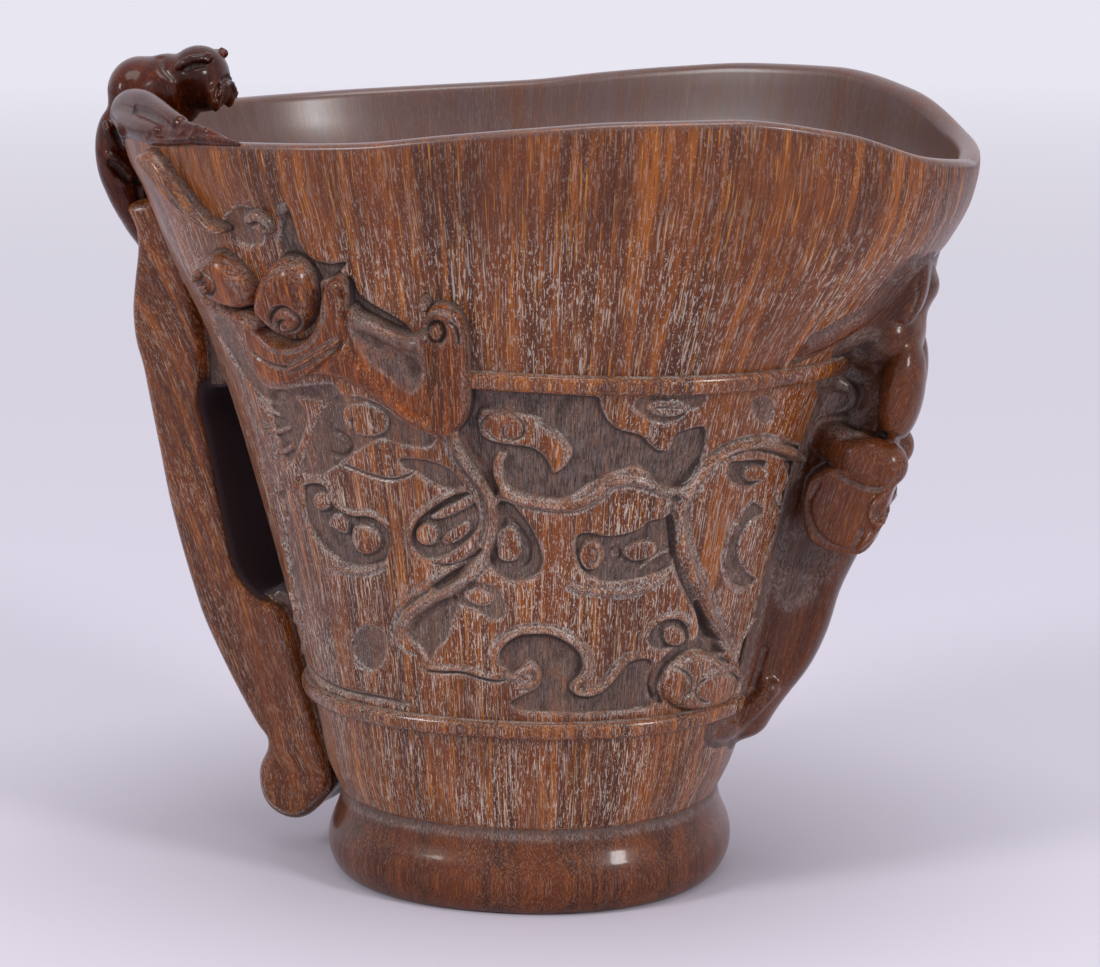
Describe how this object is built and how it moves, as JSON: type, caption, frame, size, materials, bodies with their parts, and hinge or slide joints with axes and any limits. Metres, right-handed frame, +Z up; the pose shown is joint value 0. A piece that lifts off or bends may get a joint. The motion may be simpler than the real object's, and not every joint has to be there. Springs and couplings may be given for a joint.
{
  "type": "chinese libation cup",
  "caption": "Carved footed libation cup with a flaring lobed lip, a spout, a pierced strap handle and climbing chi dragons, for pouring or display.",
  "frame": {"origin": "on the resting plane, under the middle of the overall outline and of the foot", "axes": "+Z up, +X from the handle towards the spout, +Y across the cup to its far side"},
  "size_m": [0.123, 0.0868, 0.1137],
  "materials": {
    "grained_wall": "open-grained red-brown carving material with pale pore fleck, hand-rubbed satin",
    "polished_foot": "dark red-brown, polished",
    "worn_relief": "red-brown relief with grey residue in the recesses, satin",
    "polished_dragon": "dark red-brown, polished high parts"
  },
  "bodies": {
    "root": {"bowl": "grained_wall", "foot_ring": "polished_foot", "lower_band": "worn_relief", "upper_band": "worn_relief", "handle": "grained_wall", "lip_dragon_body": "polished_dragon", "lip_dragon_head": "polished_dragon", "lip_dragon_near_foreleg": "polished_dragon", "lip_dragon_far_foreleg": "polished_dragon", "lip_dragon_near_hindleg": "worn_relief", "lip_dragon_far_hindleg": "worn_relief", "near_dragon_body": "worn_relief", "near_dragon_head": "polished_dragon", "near_dragon_shoulder": "polished_dragon", "near_dragon_foreleg": "worn_relief", "near_dragon_hindleg": "worn_relief", "far_dragon_body": "worn_relief", "far_dragon_head": "polished_dragon", "far_dragon_shoulder": "polished_dragon", "far_dragon_foreleg": "worn_relief", "far_dragon_hindleg": "worn_relief", "spout_dragon_head": "polished_dragon", "spout_dragon_body": "polished_dragon", "spout_dragon_tail": "polished_dragon", "spout_dragon_near_foreleg": "polished_dragon", "spout_dragon_far_foreleg": "polished_dragon", "spout_dragon_near_hindleg": "polished_dragon", "spout_dragon_far_hindleg": "polished_dragon"}
  },
  "joints": []
}
